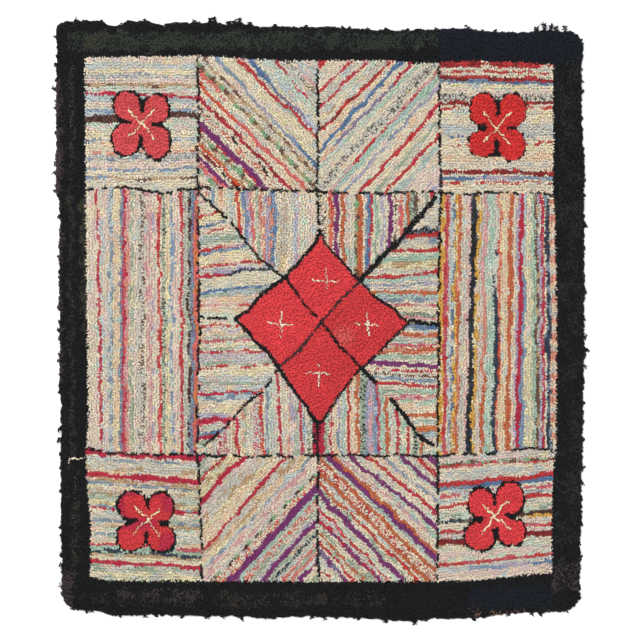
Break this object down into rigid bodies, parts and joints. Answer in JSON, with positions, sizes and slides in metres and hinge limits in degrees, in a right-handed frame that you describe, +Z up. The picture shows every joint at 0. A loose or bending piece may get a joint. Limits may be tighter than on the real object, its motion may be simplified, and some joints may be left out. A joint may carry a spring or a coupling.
{
  "type": "hooked rug",
  "caption": "Rectangular hand-hooked wool rug with a ragged rim, lying flat: black border round striped blocks, petalled flowers and a quartered red diamond",
  "frame": {"origin": "middle of the rug's bounding rectangle, on the floor under its underside", "axes": "+Z up out of the pile, +Y along the rug's long way towards its top edge in the picture, +X across it to the picture's right"},
  "size_m": [1.0758, 1.218, 0.0112],
  "materials": {
    "hooked_wool": "short cut wool pile, hooked through burlap, matte and worn"
  },
  "bodies": {
    "root": {"hooked_rug": "hooked_wool"}
  },
  "joints": []
}
